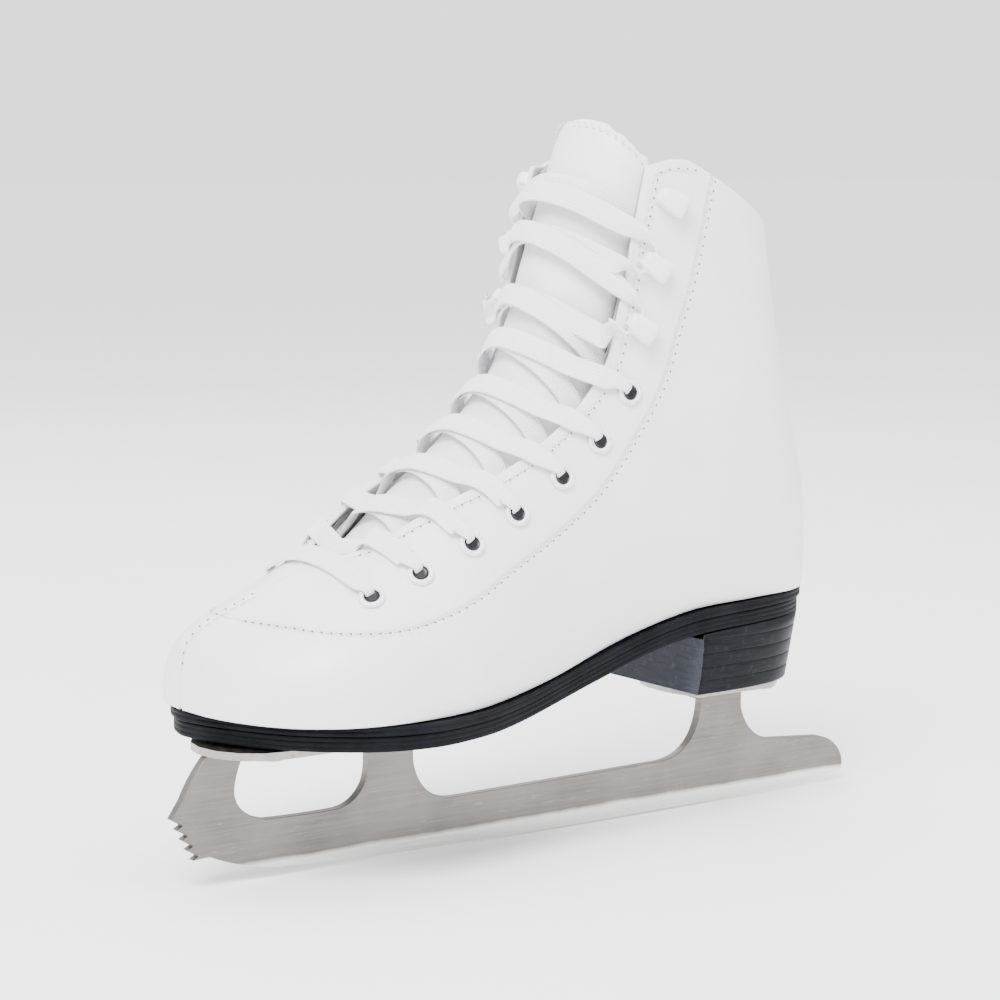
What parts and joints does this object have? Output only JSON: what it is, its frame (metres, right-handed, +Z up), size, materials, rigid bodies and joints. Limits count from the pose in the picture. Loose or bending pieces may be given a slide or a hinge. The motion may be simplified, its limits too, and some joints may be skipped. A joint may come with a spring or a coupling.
{
  "type": "figure skate",
  "caption": "Lace-up figure skate with a padded boot, stacked heel and a toothed steel blade riveted to its sole",
  "frame": {"origin": "the heel seat: the top of the footbed under the middle of the wearer's heel, on the blade's middle plane", "axes": "+Z up from the running edge, toe to -X, +Y to the wearer's right of a left skate"},
  "size_m": [0.2841, 0.0903, 0.2492],
  "materials": {
    "white_upper": "smooth white coated leather, satin",
    "grey_lining": "brushed grey textile",
    "stiffener": "pressed fibre board, matte",
    "foam": "soft foam, matte",
    "black_sole": "black moulded rubber, low sheen",
    "black_heel": "black moulded plastic with a satin sheen",
    "blade_steel": "satin ground steel with a bright running edge",
    "plate_steel": "plain pressed steel",
    "rivet_steel": "bright domed steel",
    "white_enamel": "white enamel over brass, glossy",
    "white_lace": "flat woven white polyester braid"
  },
  "bodies": {
    "boot": {"quarter_left": "white_upper", "quarter_right": "white_upper", "backstay": "white_upper", "lining": "grey_lining", "footbed": "grey_lining", "facing_reinforcement_left": "stiffener", "facing_reinforcement_right": "stiffener", "toe_puff": "stiffener", "heel_counter": "stiffener", "insole_board": "stiffener", "ankle_pad_left": "foam", "ankle_pad_right": "foam", "outsole": "black_sole", "midsole": "black_sole", "heel": "black_heel", "blade": "blade_steel", "sole_plate": "plate_steel", "heel_plate": "plate_steel", "sole_plate_rivet_1": "rivet_steel", "sole_plate_rivet_2": "rivet_steel", "sole_plate_rivet_3": "rivet_steel", "sole_plate_rivet_4": "rivet_steel", "sole_plate_rivet_5": "rivet_steel", "sole_plate_rivet_6": "rivet_steel", "heel_plate_rivet_1": "rivet_steel", "heel_plate_rivet_2": "rivet_steel", "heel_plate_rivet_3": "rivet_steel", "heel_plate_rivet_4": "rivet_steel", "hook_rivet_left_1": "rivet_steel", "hook_rivet_left_2": "rivet_steel", "hook_rivet_left_3": "rivet_steel", "hook_rivet_right_1": "rivet_steel", "hook_rivet_right_2": "rivet_steel", "hook_rivet_right_3": "rivet_steel", "eyelet_left_1": "white_enamel", "eyelet_left_2": "white_enamel", "eyelet_left_3": "white_enamel", "eyelet_left_4": "white_enamel", "eyelet_left_5": "white_enamel", "eyelet_left_6": "white_enamel", "eyelet_left_7": "white_enamel", "eyelet_right_1": "white_enamel", "eyelet_right_2": "white_enamel", "eyelet_right_3": "white_enamel", "eyelet_right_4": "white_enamel", "eyelet_right_5": "white_enamel", "eyelet_right_6": "white_enamel", "eyelet_right_7": "white_enamel", "lace_hook_left_1": "white_enamel", "lace_hook_left_2": "white_enamel", "lace_hook_left_3": "white_enamel", "lace_hook_right_1": "white_enamel", "lace_hook_right_2": "white_enamel", "lace_hook_right_3": "white_enamel", "lace": "white_lace"},
    "tongue": {"tongue_cover": "white_upper", "tongue_foam": "foam", "tongue_lining": "grey_lining"}
  },
  "joints": [
    {"name": "tongue_tilt", "type": "hinge", "parent": "boot", "child": "tongue", "pos_m": [-0.145, 0, 0.0164], "axis": [0, 1, 0], "range_deg": [0, 12]}
  ]
}
